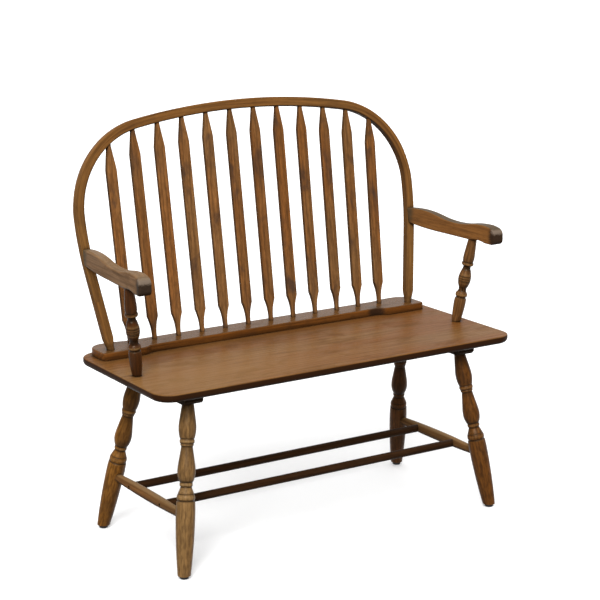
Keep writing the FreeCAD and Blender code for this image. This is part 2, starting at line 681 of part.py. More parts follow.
arm_screws = []
arm_screw_ways = {}
for side, sign in SIDES.items():
    foot_line = (f"{bow_plane} * placement(vector({sign} * bow_foot_x; 0; 0); "
                 f"rotation(vector(-sin(flank_turn_angle); {-sign} * cos(flank_turn_angle); 0); 90))")
    tenon = rod(f"bow_tenon_{side}", foot_line, "-bow_tenon_long - end_gap", "bow_neck_long", "bow_tenon_dia")
    scallop = doc.addObject("Part::Cone", f"bow_scallop_{side}")
    scallop.setExpression("Radius1", bound("bow_tenon_dia / 2"))
    scallop.setExpression("Radius2", bound("bow_scallop_dia / 2"))
    scallop.setExpression("Height", bound("bow_scallop_long"))
    scallop.setExpression("Placement", bound(moved(foot_line, "bow_neck_long")))
    cutter = rod(f"bow_cutter_{side}", foot_line, "-bow_tenon_long - end_gap",
                 "bow_neck_long + bow_scallop_long", "bow_cutter_dia")
    bow_tools.append(less(f"bow_foot_waste_{side}", cutter, [tenon, scallop]))
    rail_tools.append(rod(f"bow_foot_hole_{side}", foot_line, "-bow_tenon_long", "bow_neck_long",
                          "bow_tenon_dia + 2 * glue_gap"))
    rise = "(arm_screw_height - rail_top)"
    line = moved(place(f"{sign} * (arm_inner_back_x + arm_outer_back_x) / 2",
                       f"bow_foot_y + {rise} * tan(bow_rake_angle)", "arm_screw_height",
                       "1; 0; 0", "90 - bow_rake_angle"), "-arm_screw_floor")
    arm_screws.append(screw(f"arm_screw_{side}", line, "arm_screw_long"))
    arm_screw_ways[side] = screw_ways(f"arm_screw_{side}", line, "arm_screw_long", "bow_thick")
    bow_tools += arm_screw_ways[side]
    arm_tools[side].append(arm_screw_ways[side][0])
screw_group("arm_screws", arm_screws)
keep("bow", less("bow_cut", bow_blank, bow_tools))

# Back rail
rail_front = ogee(("rail_front_ogee_inner", "rail_front_y"), ("rail_front_ogee_outer", "rail_end_front_y"))
rail_back = ogee(("rail_back_ogee_outer", "rail_end_back_y"), ("rail_back_ogee_inner", "rail_back_y"))
rail_blank = new_body("rail_blank", place(z="seat_height"))
sketch = new_sketch(rail_blank, "XY_Plane")
draw(sketch, mirrored([
    *rail_front, ("rail_front_ogee_outer", "rail_end_front_y"), ("rail_half", "rail_end_front_y"),
    ("rail_half", "rail_end_back_y"), *rail_back, ("rail_back_ogee_inner", "rail_back_y")]))
pad(rail_blank, sketch, "rail_thick")
rail_half = value("rail_half")
rail_middle_y = value("(rail_end_front_y + rail_end_back_y) / 2")
for corner, behind in (("rail_front_corner", False), ("rail_back_corner", True)):
    dress(rail_blank, "Fillet", corner, lambda box: near(abs(box.Center.x), rail_half)
          and near(box.YLength, 0) and (box.Center.y > rail_middle_y) == behind)
rail_thick = value("rail_thick")
dress(rail_blank, "Fillet", "rail_top_round", lambda box: near(box.ZMin, rail_thick))
keep("back_rail", less("rail_cut", rail_blank, rail_tools))

# Arm posts
for side, sign in SIDES.items():
    name = f"arm_post_{side}"
    line = along(f"{name}_line", (f"{sign} * post_foot_x", "post_foot_y", "seat_height"),
                 (f"{sign} * post_head_x", "post_head_y", "arm_under"))
    span = f"{name}_line_span"
    keep(name, turned(name, line, [
        (f"{span} + post_in_arm", "post_tenon_dia"), (span, "post_tenon_dia"),
        *stations("post", span, post_turning, post_arcs),
        ("0", "post_tenon_dia"), ("-post_in_seat", "post_tenon_dia")]))
    hole = "post_tenon_dia + 2 * glue_gap"
    seat_tools.append(rod(f"{name}_seat_hole", line, "-post_in_seat", "post_in_seat", hole))
    arm_tools[side].append(rod(f"{name}_arm_hole", line, f"{span} - post_in_arm",
                               f"{span} + post_in_arm", hole))

# Arms: sawn to a side profile, then to a plan that widens to the front, and rounded over


def on_bow_front(height):
    """The bow's front face at a height: where the back end of an arm bears."""
    return (f"bow_foot_y + ({height} - rail_top) * tan(bow_rake_angle) "
            "- bow_thick / 2 / cos(bow_rake_angle)", height)


def arm_edge(which, at):
    """Where the inner or outer edge of an arm, seen from above, is at a given Y."""
    back, front = f"arm_{which}_back_x", f"arm_{which}_front_x"
    return f"({back} + ({front} - {back}) * (arm_plan_back_y - {at}) / (arm_plan_back_y - arm_plan_front_y))"


hump = ("arm_hump_y", "arm_hump_top")
dip = ("arm_dip_y", "arm_dip_top")
hand = ("arm_hand_y", "arm_hand_top")
heel = ("arm_heel_y", "arm_heel_under")
palm = ("arm_palm_y", "arm_palm_under")
size("arm_blank_x", "(arm_inner_back_x + arm_outer_front_x) / 2")
size("arm_blank_wide", "arm_outer_front_x - arm_inner_back_x")
for side, sign in SIDES.items():
    body = new_body(f"arm_blank_{side}", place())
    sketch = new_sketch(body, "YZ_Plane", f"{sign} * arm_blank_x")
    draw(sketch, [
        (*on_bow_front("arm_back_top"), "x", "arm_hump_y"), *ogee(hump, dip), *ogee(dip, hand),
        (*hand, "x", "arm_hand_y"), ("arm_nose_y", "arm_nose_top"), ("arm_nose_y", "arm_heel_under"),
        *ogee(heel, palm), *ogee(palm, ("arm_under_front_y", "arm_under")),
        ("arm_under_front_y", "arm_under"), ("arm_under_back_y", "arm_under", "x", "arm_under_back_y"),
        on_bow_front("arm_back_under")])
    pad(body, sketch, "arm_blank_wide", both_ways=True)
    nose_y = value("arm_nose_y")
    for amount, corner_z in (("arm_nose_round", "arm_nose_top"), ("arm_heel_round", "arm_heel_under")):
        height = value(corner_z)
        dress(body, "Fillet", amount,
              lambda box: near(box.YMax, nose_y) and near(box.ZMin, height) and near(box.ZMax, height))
    for which, away in (("inner", "-arm_waste"), ("outer", "arm_waste")):
        plan = new_sketch(body, "XY_Plane")
        ends = [(arm_edge(which, at), at) for at in ("arm_plan_back_y", "arm_plan_front_y")]
        draw(plan, [(f"{sign} * {x}", y) for x, y in ends]
             + [(f"{sign} * ({x} + {away})", y) for x, y in reversed(ends)])
        pocket_through(body, plan)
    middle = [value(f"(arm_inner_{end}_x + arm_outer_{end}_x) / 2") for end in ("back", "front")]
    reach = [value(f"arm_plan_{end}_y") for end in ("back", "front")]
    joint_y = value(on_bow_front("arm_back_under")[0]) - 1

    def on_side(box, outer):
        """An edge of the outer or the inner side face, short of the joint with the bow."""
        share = (reach[0] - box.Center.y) / (reach[0] - reach[1])
        middle_here = middle[0] + (middle[1] - middle[0]) * share
        across = box.XLength > max(box.YLength, box.ZLength)
        return (abs(box.Center.x) > middle_here) == outer and not across and box.YMin < joint_y

    for amount, outer in (("arm_outer_round", True), ("arm_inner_round", False)):
        dress(body, "Fillet", amount, lambda box: on_side(box, outer))
    keep(f"arm_{side}", less(f"arm_cut_{side}", body, arm_tools[side]))

# Seat board
seat = new_body("seat_blank", place(z="seat_under"))
sketch = new_sketch(seat, "XY_Plane")
draw(sketch, mirrored([("seat_front_half", "seat_front_y"), ("seat_back_half", "seat_back_y")]))
pad(seat, sketch, "seat_thick")
seat_thick = value("seat_thick")
for corner, behind in (("seat_corner_front", False), ("seat_corner_back", True)):
    dress(seat, "Fillet", corner, lambda box: near(box.ZLength, seat_thick) and (box.Center.y > 0) == behind
          and near(box.XLength, 0))
dress(seat, "Fillet", "seat_top_round", lambda box: near(box.ZMin, seat_thick))
dress(seat, "Fillet", "seat_bottom_round", lambda box: near(box.ZMax, 0))
keep("seat", less("seat_cut", seat, seat_tools))

# The build stops here if anything failed, before a file is written
doc.recompute()
failed = [item.Name for item in doc.Objects if "Invalid" in item.State or "Error" in item.State]
for label, piece in pieces.items():
    shape = piece.Shape
    if shape.isNull() or not shape.isValid() or (len(shape.Solids) != 1 and not label.endswith("_screws")):
        failed.append(label)
if failed:
    raise ValueError(f"not sound: {failed}")
for label, piece in pieces.items():
    piece.Shape.exportStep(f"parts/{label}.step")
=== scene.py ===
import math

import bpy
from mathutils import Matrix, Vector


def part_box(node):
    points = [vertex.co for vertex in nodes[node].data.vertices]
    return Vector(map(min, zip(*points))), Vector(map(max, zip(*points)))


# Looks of a stained hardwood bench. Metres, floor at z = 0, front towards -Y.

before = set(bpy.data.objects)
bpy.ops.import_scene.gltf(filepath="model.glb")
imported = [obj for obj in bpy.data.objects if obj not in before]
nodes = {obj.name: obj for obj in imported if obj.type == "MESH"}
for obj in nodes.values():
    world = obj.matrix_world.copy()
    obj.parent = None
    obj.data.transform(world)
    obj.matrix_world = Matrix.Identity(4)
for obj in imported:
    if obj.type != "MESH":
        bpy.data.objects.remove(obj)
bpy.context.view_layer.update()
sides = {"left": -1, "right": 1}
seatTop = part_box("seat")[1].z
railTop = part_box("back_rail")[1].z
print("frame loaded,", len(nodes), "nodes")


# Node tree helpers

def addNode(tree, kind, **settings):
    node = tree.nodes.new(kind)
    for name, setting in settings.items():
        setattr(node, name, setting)
    return node


def feed(tree, socket, value):
    if isinstance(value, bpy.types.NodeSocket):
        tree.links.new(value, socket)
    elif isinstance(value, tuple) and socket.type == "RGBA":
        socket.default_value = (*value, 1.0)
    else:
        socket.default_value = value


def calc(tree, operation, *values):
    node = addNode(tree, "ShaderNodeMath", operation=operation)
    for socket, value in zip(node.inputs, values):
        feed(tree, socket, value)
    return node.outputs[0]


def ramp(tree, value, low, high, newLow=0.0, newHigh=1.0):
    node = addNode(tree, "ShaderNodeMapRange", interpolation_type="SMOOTHSTEP")
    for name, number in (("Value", value), ("From Min", low), ("From Max", high),
                         ("To Min", newLow), ("To Max", newHigh)):
        feed(tree, node.inputs[name], number)
    return node.outputs["Result"]


def choose(tree, test, yes, no):
    return calc(tree, "ADD", no, calc(tree, "MULTIPLY", test, calc(tree, "SUBTRACT", yes, no)))


def split(tree, vector):
    node = addNode(tree, "ShaderNodeSeparateXYZ")
    feed(tree, node.inputs[0], vector)
    return node.outputs


def mix(tree, factor, first, second):
    node = addNode(tree, "ShaderNodeMix", data_type="RGBA")
    byName = {socket.identifier: socket for socket in node.inputs}
    feed(tree, byName["Factor_Float"], factor)
    feed(tree, byName["A_Color"], first)
    feed(tree, byName["B_Color"], second)
    return next(socket for socket in node.outputs if socket.identifier == "Result_Color")


def mapped(tree, vector, scale=(1, 1, 1), rotation=(0, 0, 0), offset=(0, 0, 0)):
    node = addNode(tree, "ShaderNodeMapping")
    feed(tree, node.inputs["Vector"], vector)
    node.inputs["Scale"].default_value = scale
    node.inputs["Rotation"].default_value = rotation
    node.inputs["Location"].default_value = offset
    return node.outputs["Vector"]


def noise(tree, vector, scale=1.0, detail=4.0, roughness=0.55, distortion=0.0):
    node = addNode(tree, "ShaderNodeTexNoise")
    feed(tree, node.inputs["Vector"], vector)
    for name, number in (("Scale", scale), ("Detail", detail), ("Roughness", roughness),
                         ("Distortion", distortion)):
        node.inputs[name].default_value = number
    return node.outputs["Fac"]


def addBump(tree, height, strength, distance):
    bump = addNode(tree, "ShaderNodeBump")
    bump.inputs["Strength"].default_value = strength
    bump.inputs["Distance"].default_value = distance
    feed(tree, bump.inputs["Height"], height)
    return bump.outputs["Normal"]


def newMaterial(name):
    material = bpy.data.materials.new(name)
    material.use_nodes = True
    return material, material.node_tree, material.node_tree.nodes["Principled BSDF"]


# Inputs are (name, socket type), outputs are names of plain values
def newGroup(name, inputs, outputs):
    tree = bpy.data.node_groups.new(name, "ShaderNodeTree")
    for label, kind in inputs:
        tree.interface.new_socket(label, in_out="INPUT", socket_type=kind)
    for label in outputs:
        tree.interface.new_socket(label, in_out="OUTPUT", socket_type="NodeSocketFloat")
    return tree, tree.nodes.new("NodeGroupInput"), tree.nodes.new("NodeGroupOutput")


def useGroup(tree, group, **values):
    node = addNode(tree, "ShaderNodeGroup", node_tree=group)
    for label, value in values.items():
        feed(tree, node.inputs[label], value)
    return node.outputs


def dress(material, *names):
    for name in names:
        for slot in nodes[name].material_slots:
            slot.material = material


# Figure of the wood. Its vector has the grain along X, in metres.

figureLook = {   # scales are per metre, along and across the grain
    "Streak": {"scale": (7, 260, 260), "offset": (0, 0, 0), "span": (0.3, 0.7),
               "texture": {"detail": 5, "roughness": 0.6, "distortion": 0.3}},
    "Pores": {"scale": (55, 1500, 1500), "offset": (0, 0, 0), "span": (0.56, 0.68),
              "texture": {"detail": 2}},
    "Patch": {"scale": (10, 20, 20), "offset": (3.1, 1.7, 0.4), "span": (0.5, 0.72),
              "texture": {"detail": 3, "distortion": 0.6}},
    "Tone": {"scale": (2.4, 13, 13), "offset": (0.7, 5.2, 2.9), "span": (0.33, 0.67),
             "texture": {"detail": 2}},
    "Flecks": {"scale": (48, 215, 215), "offset": (2.2, 0.9, 6.1), "span": (0.40, 0.66),
               "texture": {"detail": 3}},
}
ringLook = {
    "scale": (1.6, 34, 34),
    "wave": {"Scale": 1.1, "Distortion": 7.0, "Detail": 3.0, "Detail Scale": 0.7},
}


def buildFigure(look, rings):
    tree, source, sink = newGroup("woodFigure", [("Vector", "NodeSocketVector")], (*look, "Rings"))
    vector = source.outputs["Vector"]
    for name, kind in look.items():
        value = noise(tree, mapped(tree, vector, kind["scale"], offset=kind["offset"]), **kind["texture"])
        feed(tree, sink.inputs[name], ramp(tree, value, *kind["span"]))
    wave = addNode(tree, "ShaderNodeTexWave", wave_type="BANDS", bands_direction="DIAGONAL")
    feed(tree, wave.inputs["Vector"], mapped(tree, vector, rings["scale"]))
    for name, number in rings["wave"].items():
        wave.inputs[name].default_value = number
    feed(tree, sink.inputs["Rings"], wave.outputs["Fac"])
    return tree


woodFigure = buildFigure(figureLook, ringLook)


# Dark glaze and painted shade in grooves and corners, and wear and painted light along the edges

hollowAndEdgeLook = {
    "closed": 0.35, "open": 0.95,     # full glaze and painted shade, and none, by how open a place is
    "sharp": 0.93, "flat": 0.995,     # full edge wear and painted light, and none, by how alike the rounded and true normals are
    "samples": {"occlusion": 8, "bevel": 6},
}


def buildGlazeShadeAndEdges(look):
    tree, source, sink = newGroup(
        "glazeShadeAndEdges", [("Reach", "NodeSocketFloat"), ("Edge", "NodeSocketFloat")], ("GlazeAndShade", "EdgeWearAndShading"))
    occlusion = addNode(tree, "ShaderNodeAmbientOcclusion", samples=look["samples"]["occlusion"])
    feed(tree, occlusion.inputs["Distance"], source.outputs["Reach"])
    feed(tree, sink.inputs["GlazeAndShade"],
         ramp(tree, occlusion.outputs["AO"], look["closed"], look["open"], 1.0, 0.0))
    bevel = addNode(tree, "ShaderNodeBevel", samples=look["samples"]["bevel"])
    feed(tree, bevel.inputs["Radius"], source.outputs["Edge"])
    likeness = addNode(tree, "ShaderNodeVectorMath", operation="DOT_PRODUCT")
    feed(tree, likeness.inputs[0], bevel.outputs["Normal"])
    feed(tree, likeness.inputs[1], addNode(tree, "ShaderNodeNewGeometry").outputs["Normal"])
    feed(tree, sink.inputs["EdgeWearAndShading"],
         ramp(tree, likeness.outputs["Value"], look["sharp"], look["flat"], 1.0, 0.0))
    return tree


glazeShadeAndEdges = buildGlazeShadeAndEdges(hollowAndEdgeLook)
print("shared effects done")


# The grain bends with the bow. Its arcs lie in a raked plane: each is a centre off the middle of
# the bench, the centre's height above the foot of the bow, and the radius of the outer edge.

bendLook = {
    "foot": (0.1213, railTop),   # Y and Z of the raked plane's lower end
    "rake": math.radians(12.2),
    "top": (0.0, -1.2118, 1.7948), "shoulder": (0.2712, 0.3263, 0.233), "flank": (-0.4008, 0.3322, 0.905),
    "topHalf": 0.309, "shoulderAbove": 0.3255,   # where the top arc and the shoulder arcs end
    "straightBelow": 0.192, "straightTurn": math.radians(98.9),
    "middle": 0.12, "perTurn": 0.5,   # the length along the bow, from its turn about this height
}


def fromArc(tree, across, up, arc):
    centre, height, radius = arc
    side = calc(tree, "SUBTRACT", across, centre)
    rise = calc(tree, "SUBTRACT", up, height)
    square = calc(tree, "ADD", calc(tree, "MULTIPLY", side, side), calc(tree, "MULTIPLY", rise, rise))
    return calc(tree, "SUBTRACT", radius, calc(tree, "SQRT", square))


def fromStraight(tree, across, up, arc, turn):
    centre, height, radius = arc
    side = calc(tree, "MULTIPLY", calc(tree, "SUBTRACT", across, centre), math.sin(turn))
    rise = calc(tree, "MULTIPLY", calc(tree, "SUBTRACT", up, height), math.cos(turn))
    return calc(tree, "SUBTRACT", radius, calc(tree, "ADD", side, rise))


# X runs along the bow, Y inward from its outer edge, Z through its thickness
def bentPlace(tree, place, look):
    parts = split(tree, place)
    back = calc(tree, "SUBTRACT", parts["Y"], look["foot"][0])
    high = calc(tree, "SUBTRACT", parts["Z"], look["foot"][1])
    lean, level = math.sin(look["rake"]), math.cos(look["rake"])
    up = calc(tree, "ADD", calc(tree, "MULTIPLY", high, level), calc(tree, "MULTIPLY", back, lean))
    deep = calc(tree, "SUBTRACT", calc(tree, "MULTIPLY", back, level), calc(tree, "MULTIPLY", high, lean))
    across = calc(tree, "ABSOLUTE", parts["X"])
    low = choose(tree, calc(tree, "LESS_THAN", up, look["straightBelow"]),
                 fromStraight(tree, across, up, look["flank"], look["straightTurn"]),
                 fromArc(tree, across, up, look["flank"]))
    bend = choose(tree, calc(tree, "GREATER_THAN", up, look["shoulderAbove"]),
                  fromArc(tree, across, up, look["shoulder"]), low)
    inward = choose(tree, calc(tree, "LESS_THAN", across, look["topHalf"]),
                    fromArc(tree, across, up, look["top"]), bend)
    turn = calc(tree, "ARCTAN2", calc(tree, "SUBTRACT", up, look["middle"]), parts["X"])
    joined = addNode(tree, "ShaderNodeCombineXYZ")
    for name, value in (("X", calc(tree, "MULTIPLY", turn, look["perTurn"])), ("Y", inward), ("Z", deep)):
        feed(tree, joined.inputs[name], value)
    return joined.outputs["Vector"]


# One stained wood. The look of a piece says what differs from this one.

plainWood = {
    "grain": (1, 0, 0), "seed": (0, 0, 0),   # the grain's direction, or "bent", and where the figure starts
    "light": (0.215, 0.099, 0.029), "dark": (0.066, 0.027, 0.009), "patch": (0.040, 0.020, 0.010),
    "warm": (0.228, 0.087, 0.020),
    "streaks": 0.6, "rings": 0.25, "patches": 0.35, "tones": 0.5, "flecks": 0.1, "pores": 0.35,
    # dark in grooves and corners: glaze and painted shade
    "glazeAndShade": 0.9, "glazeAndShadeReach": 0.014, "glazeAndShadeColour": (0.010, 0.005, 0.0025),
    # paler along the rounded edges: wear and a painted highlight
    "edgeWearAndShading": 0.25, "edgeWearAndShadingReach": 0.0018, "edgeWearAndShadingColour": (0.27, 0.15, 0.055),
    "rough": (0.45, 0.62), "roughFrom": (0.0, 1.6), "gloss": 0.05, "glossTint": (1.0, 0.82, 0.62),
    "bump": 0.2, "bumpDepth": 0.0006, "bumpStreaks": 0.6,
    # Painted light and shade by how a face turns: amount and colour on faces turned away from straight up
    # (painted shade), up (painted sheen), to the side and down (painted shade)
    "paintedEdgeShade": None, "lightFromAbove": None, "paintedSideShade": None, "paintedUnderShade": (0.8, (0.020, 0.009, 0.004)),
    "spots": (),       # spots of colour, some real stains and some painted light and shade: place, reach, amount and colour, and where the full colour ends
    "inner": None,     # painted shade on the inner face of the bow
    "turned": None,    # a turned piece: its axis, its top end and its marks of painted shade and highlight
    "beadHighlight": (0.27, 0.15, 0.055),   # painted highlight on the tops of the beads
}
spotEdge = {"core": 0.5, "end": 1.1, "ragged": 0.35}   # in shares of the spot's reach
faceTurns = {   # the part of the normal that tells it, and (its value, the painted light's share) twice
    "paintedEdgeShade": ("Z", (0.35, 1.0), (0.97, 0.0)),
    "lightFromAbove": ("Z", (0.6, 0.0), (0.95, 1.0)),
    "paintedSideShade": ("X", (0.6, 0.0), (0.95, 1.0)),
    "paintedUnderShade": ("Z", (-0.8, 1.0), (0.15, 0.0)),
}
markLook = {"reach": 0.3, "dark": 0.95, "pale": 0.7, "weakestMark": 0.62}   # the reach is down from the top end


# The rotation that brings a grain direction onto X
def grainTurn(direction):
    return tuple(Vector(direction).normalized().rotation_difference(Vector((1, 0, 0))).to_euler())


def paintSpots(tree, colour, place, streak, spots):
    for spot in spots:
        distance = addNode(tree, "ShaderNodeVectorMath", operation="LENGTH")
        feed(tree, distance.inputs[0],
             mapped(tree, place, tuple(1 / reach for reach in spot["reach"]),
                    offset=tuple(-at / reach for at, reach in zip(spot["at"], spot["reach"]))))
        wander = calc(tree, "MULTIPLY", calc(tree, "SUBTRACT", streak, 0.5), spotEdge["ragged"])
        far = calc(tree, "ADD", distance.outputs["Value"], wander)
        core = spot.get("core", spotEdge["core"])
        spotShare = ramp(tree, far, core, spotEdge["end"], spot["amount"], 0.0)
        colour = mix(tree, spotShare, colour, spot["colour"])
    return colour


# Painted light and shade, by which way each face turns
def paintLightByFacing(tree, colour, look):
    facing = split(tree, addNode(tree, "ShaderNodeNewGeometry").outputs["Normal"])
    for key, (axis, (low, first), (high, last)) in faceTurns.items():
        if look[key]:
            amount, shade = look[key]
            turn = calc(tree, "ABSOLUTE", facing[axis]) if key == "paintedSideShade" else facing[axis]
            colour = mix(tree, ramp(tree, turn, low, high, amount * first, amount * last), colour, shade)
    return colour


def paintInnerEdgeShade(tree, colour, place, inner):
    inward = split(tree, bentPlace(tree, place, bendLook))["Y"]
    return mix(tree, ramp(tree, inward, inner["start"], inner["end"], 0.0, inner["amount"]), colour,
               inner["colour"])


# Painted shade in the grooves and painted highlights on the beads: a colour ramp down the axis, where 0.5
# leaves the wood as it is
def paintGrooveShadeAndBeadHighlight(tree, colour, place, flecks, look):
    axis = Vector(look["turned"]["axis"]).normalized()
    along = addNode(tree, "ShaderNodeVectorMath", operation="DOT_PRODUCT")
    feed(tree, along.inputs[0], place)
    feed(tree, along.inputs[1], tuple(axis))
    down = calc(tree, "SUBTRACT", axis.dot(Vector(look["turned"]["end"])), along.outputs["Value"])
    marks = addNode(tree, "ShaderNodeValToRGB")
    feed(tree, marks.inputs["Fac"], calc(tree, "DIVIDE", down, markLook["reach"]))
    stops = look["turned"]["marks"]
    while len(marks.color_ramp.elements) < len(stops):
        marks.color_ramp.elements.new(1.0)
    for element, (millimetres, shade) in zip(marks.color_ramp.elements, stops):
        element.position = millimetres / 1000 / markLook["reach"]
        element.color = (shade, shade, shade, 1)
    shade = marks.outputs["Color"]
    uneven = ramp(tree, flecks, 0.0, 1.0, 1.0, markLook["weakestMark"])
    darker = calc(tree, "MULTIPLY", ramp(tree, shade, 0.0, 0.5, markLook["dark"], 0.0), uneven)
    paler = calc(tree, "MULTIPLY", ramp(tree, shade, 0.5, 1.0, 0.0, markLook["pale"]), uneven)
    return mix(tree, paler, mix(tree, darker, colour, look["glazeAndShadeColour"]), look["beadHighlight"])


def woodMaterial(name, changes):
    look = {**plainWood, **changes}
    material, tree, shader = newMaterial(name)
    place = addNode(tree, "ShaderNodeTexCoord").outputs["Object"]
    if look["grain"] == "bent":
        vector = mapped(tree, bentPlace(tree, place, bendLook), offset=look["seed"])
    else:
        vector = mapped(tree, place, rotation=grainTurn(look["grain"]), offset=look["seed"])
    figure = useGroup(tree, woodFigure, Vector=vector)
    light = mix(tree, calc(tree, "MULTIPLY", figure["Tone"], look["tones"]), look["light"], look["warm"])
    lines = calc(tree, "ADD", calc(tree, "MULTIPLY", figure["Streak"], look["streaks"]),
                 calc(tree, "MULTIPLY", figure["Rings"], look["rings"]))
    colour = mix(tree, lines, light, look["dark"])
    for mask, amount, shade in (("Patch", "patches", "patch"), ("Pores", "pores", "glazeAndShadeColour"),
                                ("Flecks", "flecks", "dark")):
        colour = mix(tree, calc(tree, "MULTIPLY", figure[mask], look[amount]), colour, look[shade])
    colour = paintSpots(tree, colour, place, figure["Streak"], look["spots"])
    colour = paintLightByFacing(tree, colour, look)
    if look["inner"]:
        colour = paintInnerEdgeShade(tree, colour, place, look["inner"])
    if look["turned"]:
        colour = paintGrooveShadeAndBeadHighlight(tree, colour, place, figure["Flecks"], look)
    # glaze and painted shade in grooves and corners, from occlusion
    worn = useGroup(tree, glazeShadeAndEdges, Reach=look["glazeAndShadeReach"], Edge=look["edgeWearAndShadingReach"])
    colour = mix(tree, calc(tree, "MULTIPLY", worn["GlazeAndShade"], look["glazeAndShade"]), colour, look["glazeAndShadeColour"])
    # wear and painted light along the rounded edges
    colour = mix(tree, calc(tree, "MULTIPLY", worn["EdgeWearAndShading"], look["edgeWearAndShading"]), colour, look["edgeWearAndShadingColour"])
    feed(tree, shader.inputs["Base Color"], colour)
    coarse = calc(tree, "ADD", figure["Streak"], figure["Patch"])
    feed(tree, shader.inputs["Roughness"], ramp(tree, coarse, *look["roughFrom"], *look["rough"]))
    feed(tree, shader.inputs["Specular IOR Level"], look["gloss"])
    feed(tree, shader.inputs["Specular Tint"], look["glossTint"])
    height = calc(tree, "SUBTRACT", calc(tree, "MULTIPLY", figure["Streak"], look["bumpStreaks"]),
                  figure["Pores"])
    feed(tree, shader.inputs["Normal"], addBump(tree, height, look["bump"], look["bumpDepth"]))
    return material


# Seat

seatLook = {
    "streaks": 0.48, "rings": 0.16, "patches": 0.5, "tones": 0.9, "bump": 0.1, "edgeWearAndShading": 0.0,
    "rough": (0.34, 0.48), "gloss": 0.045,
    "light": (0.212, 0.100, 0.029), "warm": (0.196, 0.069, 0.012), "patch": (0.088, 0.036, 0.009),
    # painted shade on the seat's edges
    "paintedEdgeShade": (0.96, (0.023, 0.008, 0.003)),
    "spots": (   # painted light at the front left, painted shade along the rail
        {"at": (-0.38, -0.14, seatTop), "reach": (0.62, 0.22, 0.08), "amount": 0.6, "core": 0.0,
         "colour": (0.232, 0.124, 0.044)},
        {"at": (0.05, 0.085, seatTop), "reach": (0.75, 0.085, 0.08), "amount": 0.5, "core": 0.0,
         "colour": (0.085, 0.034, 0.010)}),
}
dress(woodMaterial("seatWood", seatLook), "seat")


# Back rail, with a dark spot low at each end, just above the seat

railLook = {
    "seed": (0.4, 0.9, 0.2), "rough": (0.24, 0.36), "gloss": 0.08,
    "light": (0.178, 0.058, 0.009), "dark": (0.060, 0.021, 0.005),
    # a painted sheen on the rail's top, and painted shade along its edges
    "lightFromAbove": (0.6, (0.080, 0.042, 0.014)), "edgeWearAndShading": 0.55, "edgeWearAndShadingColour": (0.030, 0.014, 0.005),
    "spots": (
        {"at": (0.335, 0.10, seatTop + 0.008), "reach": (0.028, 0.05, 0.03), "amount": 0.85,
         "colour": (0.020, 0.012, 0.008)},
        {"at": (-0.335, 0.085, seatTop + 0.015), "reach": (0.035, 0.02, 0.014), "amount": 0.7,
         "colour": (0.024, 0.012, 0.006)}),
}
dress(woodMaterial("railWood", railLook), "back_rail")


# Bow, with glaze and painted shade in the scallops of its feet

footY, footZ = bendLook["foot"]
bowLook = {
    "grain": "bent", "seed": (0.1, 0.3, 0.0), "streaks": 0.65, "patches": 0.25, "rings": 0.15,
    "light": (0.250, 0.118, 0.032),
    # painted shade on the inner face
    "inner": {"start": 0.0205, "end": 0.0230, "amount": 0.5, "colour": (0.045, 0.020, 0.007)},
    # glaze and painted shade in the scallops of each foot
    "spots": [{"at": (side * 0.451, footY - 0.0023, footZ + 0.008), "reach": (0.03, 0.03, 0.012),
               "amount": 0.4, "colour": (0.030, 0.014, 0.005)} for side in sides.values()],
}
dress(woodMaterial("bowWood", bowLook), "bow")


# Arrow spindles, each from another place in the figure

arrowLook = {
    "wood": {
        "grain": (0, 0.2, 1), "patches": 0.8, "tones": 0.9, "streaks": 0.5, "flecks": 0.35,
        "light": (0.252, 0.124, 0.044), "warm": (0.280, 0.104, 0.025), "patch": (0.058, 0.034, 0.024),
        # painted shade on the side faces
        "paintedSideShade": (0.55, (0.026, 0.013, 0.006)),
    },
    "count": 12, "seedStep": (1.37, 0.61, 0.0),
    "pale": (1, 3, 4, 5), "paleBy": 1.16,   # the paler spindles, counted from the left
}
for number in range(1, arrowLook["count"] + 1):
    paler = arrowLook["paleBy"] if number in arrowLook["pale"] else 1.0
    look = {**arrowLook["wood"], "seed": tuple(number * step for step in arrowLook["seedStep"])}
    for key in ("light", "warm"):
        look[key] = tuple(part * paler for part in look[key])
    dress(woodMaterial(f"arrowWood{number:02}", look), f"arrow_{number:02}")
print("seat and back done")


# Legs, splayed both ways

